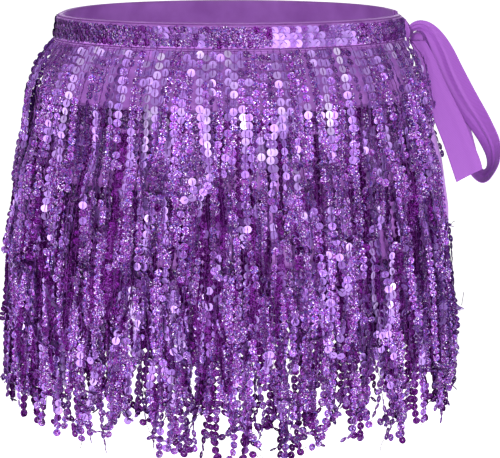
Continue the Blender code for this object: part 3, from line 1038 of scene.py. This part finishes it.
def stitch(spot, wide, up, face, slant):
    """The slanting stitch out of the hole of one sequin on a tape."""
    way = unit(wide * slant + up)
    start = spot + face * STITCH_LIFTS[0]
    end = spot + way * STITCH_LENGTH + face * STITCH_LIFTS[1]
    return tube(np.array([start, end]), np.array([np.cross(way, face)] * 2),
                np.array([face] * 2), STITCH_RADIUS)


# %% Make the tiers
FRONT_SHARE = 0.52
SEQUIN_TILT = 0.13


def make_tier(tier_index):
    """One tier: tape, sequins, and the threads they hang on, from its own seeded numbers."""
    chance = np.random.default_rng(SEED + tier_index)
    tier = TIERS[tier_index]
    ahead = chance.random(tier["strands"]) < FRONT_SHARE
    centres, across, up, front, twist, here = follow_strands(tier_index, chance, ahead)
    tilt = chance.normal(0.0, SEQUIN_TILT, twist.shape)
    wide, along, face = turned(across, up, front, twist, tilt)
    pale, dye_and_shade = strand_looks(tier_index, chance, centres, twist, ahead)
    head, head_axes, slants, head_angles = header_sequins(tier_index, chance)
    head_pale, head_dye_and_shade = header_looks(tier_index, chance, head_angles)

    sequins = add_sequins(tier["name"] + "_strands", centres[here], wide[here], along[here],
                          face[here], pale[here], dye_and_shade[here])
    header = add_sequins(tier["name"] + "_header", head, *head_axes, head_pale, head_dye_and_shade)
    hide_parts(tier["name"])

    threads, loose_ends = [], []
    for strand in range(tier["strands"]):
        hung = int(np.flatnonzero(here[strand])[-1]) + 1
        if chance.random() < tier["loose"]:
            loose_ends.append(loose_end(chance, centres[strand, hung - 1], up[strand, hung - 1],
                                        across[strand, hung - 1], front[strand, hung - 1]))
        threads.append(strand_thread(centres[strand, :hung], across[strand], up[strand],
                                     front[strand], face[strand, :hung]))
    threads += [stitch(*parts) for parts in zip(head, *head_axes, slants)]
    sewn = add_tubes(tier["name"] + "_threads", threads, thread)
    bare = add_tubes(tier["name"] + "_loose_threads", loose_ends, loose_thread)
    tape = make_tape(tier_index)
    print(tier["name"], int(here.sum()) + len(head), "sequins,",
          count_triangles(sequins), "+", count_triangles(sewn), "triangles")
    return tape, [sequins, header, sewn, bare]


tiers = [make_tier(tier_index) for tier_index in range(len(TIERS))]

# %% [markdown]
# ## Ribbon tie
# The ribbon rows are the same as the solids': a middle, a half width and the way the width
# runs. The shell between them is thinner, with soft lengthwise folds, each as deep all along
# the ribbon, which drift across it.

# %% Ribbon rows
# Each row: x, y and z of the middle and the half width in mm, slant and turn in degrees.
TAIL_ROWS = np.array([
    (144.4, -4.8, -11, 5.2, 3, 0),
    (149.6, -5.2, -23, 8.8, -18, 0),
    (156, -5.8, -40.5, 11.1, -20, 0),
    (163, -6.2, -58, 11.5, -9, 0),
    (169.7, -6.6, -73.5, 11.5, 2, 0),
    (177.2, -7, -91.5, 11.5, 4, 0),
    (182.6, -7.5, -105.5, 11.5, 14, 0),
    (185.9, -7.5, -115.5, 11.3, 28, 0),
])
LOOP_ROWS = np.array([
    (139.6, 2, -2.4, 3, 125, 0),
    (142.5, 1.6, -0.6, 3.6, 112, 0),
    (146.8, 1.2, 0.1, 4, 90, 0),
    (152.5, 1, -2.6, 5, 60, 0),
    (158.4, 0.8, -10, 6.8, 43, -6),
    (164.5, 0.6, -21.5, 8.6, 34, -12),
    (171.7, 0.4, -38.5, 10.4, 32, -18),
    (182.2, 0.6, -58, 11.2, 33, -27),
    (194.2, 2, -76, 11.4, 30, -43),
    (202.7, 5, -91.4, 11.2, 15, -52),
    (205.8, 8, -105, 10.8, 0, -69),
    (203.5, 10.5, -115.5, 10.5, -45, -80),
    (197.8, 12.5, -118.7, 10.5, -112, -65),
    (190.7, 14, -109, 10.8, -146, -54),
    (182.2, 15, -87.1, 11, -156, -42),
    (173.3, 15, -65.7, 10.6, -160, -32),
    (164, 13.5, -43.1, 9.2, -160, -22),
    (155.2, 11.2, -22.6, 7, -160, -12),
    (148.2, 8.8, -10, 5.4, -158, 0),
    (146, 6.6, -4, 6, -150, 0),
])
FRONT_END_ROWS = np.array([
    (133.8, -13.2, 0, 6.2, 90, 0),
    (134.7, -7, -1.4, 6.2, 90, 0),
    (136.6, -2.4, -6.2, 7, 90, 0),
    (138.6, -0.4, -10, 6, 90, 0),
])
BACK_END_ROWS = np.array([
    (132.5, 18.3, 0, 6.2, 90, 0),
    (135.2, 14, -1.5, 5.8, 90, 0),
    (138.5, 10, -4.5, 4.6, 90, 0),
    (141.2, 7, -8, 3.6, 90, 0),
])
RIBBON_STEPS = 8
RIBBON_STRIPS = 24
RIBBON_SHEET = 0.0005
RIBBON_CUP = 0.0009


def smooth_rows(rows):
    """Rows on a smooth curve through the ribbon's own rows."""
    padded = np.concatenate([rows[:1], rows, rows[-1:]])
    found = []
    for before, start, end, after in zip(padded, padded[1:], padded[2:], padded[3:]):
        for t in np.arange(RIBBON_STEPS) / RIBBON_STEPS:
            bend = 2 * before - 5 * start + 4 * end - after
            bend = bend + (3 * start - before - 3 * end + after) * t
            found.append(start + (end - before) * t / 2 + bend * t * t / 2)
    return np.array(found + [rows[-1]])


def make_ribbon(node, rows, folds):
    """A thin ribbon with lengthwise folds: (place across, width, height, lean)."""
    rows = smooth_rows(rows)
    middles = rows[:, :3] / 1000
    half = rows[:, 3][:, None] / 1000
    slant, turn = np.radians(rows[:, 4]), np.radians(rows[:, 5])
    wide = np.stack([np.cos(slant) * np.cos(turn), np.sin(turn), np.sin(slant) * np.cos(turn)],
                    axis=-1)
    ahead = np.gradient(middles, axis=0)
    facing = unit(np.cross(wide, ahead))
    side = np.linspace(-1, 1, RIBBON_STRIPS + 1)[None, :]
    lift = RIBBON_CUP * (1 - side ** 2)
    way = np.linspace(0, 1, len(rows))[:, None]
    for place, width, height, lean in folds:
        lift = lift + height * np.exp(-((side - place - lean * way) / width) ** 2)
    points = (middles[:, None] + wide[:, None] * (half * side)[..., None]
              + facing[:, None] * lift[..., None])
    thick = facing[:, None] * RIBBON_SHEET / 2
    piece = add_wall(node + "_ribbon", points + thick, points - thick, chiffon,
                     "chiffon_ribbon")
    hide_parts(node)
    length = np.linalg.norm(np.diff(middles, axis=0), axis=1).sum()
    print(node, f"{length * 1000:.0f} mm long, {2000 * half.max():.0f} mm wide at most")
    return piece, length


LOOP_FOLDS = [(-0.45, 0.14, 0.0008, 0.3), (0.15, 0.10, -0.0009, -0.35)]
TAIL_FOLDS = [(-0.45, 0.25, 0.0004, -0.2), (0.3, 0.22, -0.0003, 0.25)]
END_FOLDS = [(-0.4, 0.2, 0.0004, 0.0), (0.35, 0.2, -0.0003, 0.0)]
PLEATED_WIDTH = 0.0124
RIBBONS = (
    # node, rows, folds, width of its sheet
    ("tie_loop", LOOP_ROWS, LOOP_FOLDS, 0.024),
    ("tie_tail", TAIL_ROWS, TAIL_FOLDS, 0.023),
    ("tie_front_end", FRONT_END_ROWS, END_FOLDS, PLEATED_WIDTH),
    ("tie_back_end", BACK_END_ROWS, END_FOLDS, PLEATED_WIDTH),
)
ribbons = [(*make_ribbon(node, rows, folds), width) for node, rows, folds, width in RIBBONS]

# %% [markdown]
# The knot is the two ribbons pulled tight into one small gathered lump.

# %% Knot
KNOT_CENTRE = np.array((0.1435, 0.0020, -0.0108))
KNOT_RADII = np.array((0.0052, 0.0050, 0.0058))
KNOT_TILT = math.radians(20)


def make_knot():
    """A closed lump with uneven gathers that run round it."""
    rounds, rings = 72, 40
    down = np.linspace(0, math.pi, rings)[:, None]
    turn = np.arange(rounds)[None, :] * 2 * math.pi / rounds
    gather = 1 - np.sin(down) * (0.07 * (1 - np.cos(6 * turn + 1.2 * np.cos(down))) / 2
                                 + 0.03 * (1 + np.sin(11 * turn + 3 * down)) / 2)
    level = np.sin(down) * gather
    local = np.stack([KNOT_RADII[0] * level * np.cos(turn), KNOT_RADII[1] * level * np.sin(turn),
                      KNOT_RADII[2] * np.cos(down) * np.ones_like(turn)], axis=-1)
    x, y, z = local[..., 0], local[..., 1], local[..., 2]
    tilted = np.stack([x * math.cos(KNOT_TILT) + z * math.sin(KNOT_TILT), y,
                       z * math.cos(KNOT_TILT) - x * math.sin(KNOT_TILT)], axis=-1)
    points = (KNOT_CENTRE + tilted).reshape(-1, 3)
    grid = np.arange(rings * rounds).reshape(rings, rounds)
    next_round = np.roll(grid, -1, axis=1)
    faces = np.stack([grid[:-1], next_round[:-1], next_round[1:], grid[1:]], axis=-1)
    piece = add_piece("tie_knot_ribbon", points, faces.reshape(-1, 4), chiffon)
    face_outward(piece, weld=True)
    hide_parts("tie_knot")


make_knot()

# %% [markdown]
# ## Tape lengths
# The length of each tape is worked out half way down it; nothing uses it. The short
# ribbons at the band are pleated to half of their width.

# %% Sheets
for tier, (tape, hung_pieces) in zip(TIERS, tiers):
    _, tape_length = angles_along(tier["first_angle"], tier["last_angle"], [0.0],
                                  tier["header_top"] - HEADER_HEIGHT / 2)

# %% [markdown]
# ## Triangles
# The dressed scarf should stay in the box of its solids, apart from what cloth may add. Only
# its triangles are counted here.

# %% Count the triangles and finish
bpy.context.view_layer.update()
shown = [piece for piece in bpy.data.objects
         if piece.type == "MESH" and not piece.hide_render and piece is not floor]
print("triangles in all:", sum(count_triangles(piece) for piece in shown))
